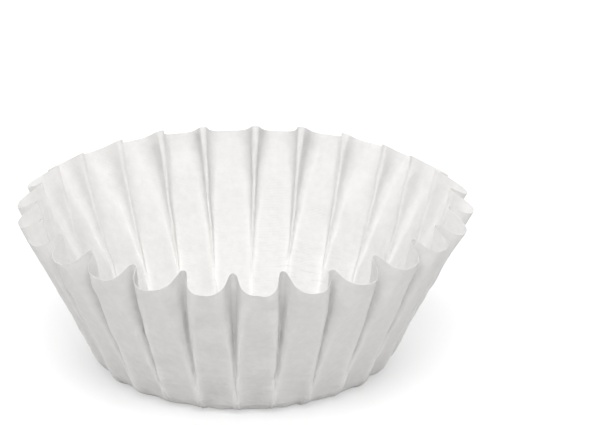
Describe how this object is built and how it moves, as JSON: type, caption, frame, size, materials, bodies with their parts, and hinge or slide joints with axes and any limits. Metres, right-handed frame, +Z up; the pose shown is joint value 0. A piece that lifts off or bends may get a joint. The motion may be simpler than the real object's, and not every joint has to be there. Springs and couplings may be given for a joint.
{
  "type": "paper coffee filter",
  "caption": "Round basket coffee filter of crepe paper: an open cup with a flat base and a flared, fluted wall, which holds ground coffee in a brew basket.",
  "frame": {"origin": "on the axis of the cup, at the underside of its flat base", "axes": "+Z up the axis, towards the open rim; +X through the middle of a ridge"},
  "size_m": [0.1736, 0.173, 0.0668],
  "materials": {
    "paper": "matte"
  },
  "bodies": {
    "root": {"filter_cup": "paper"}
  },
  "joints": []
}
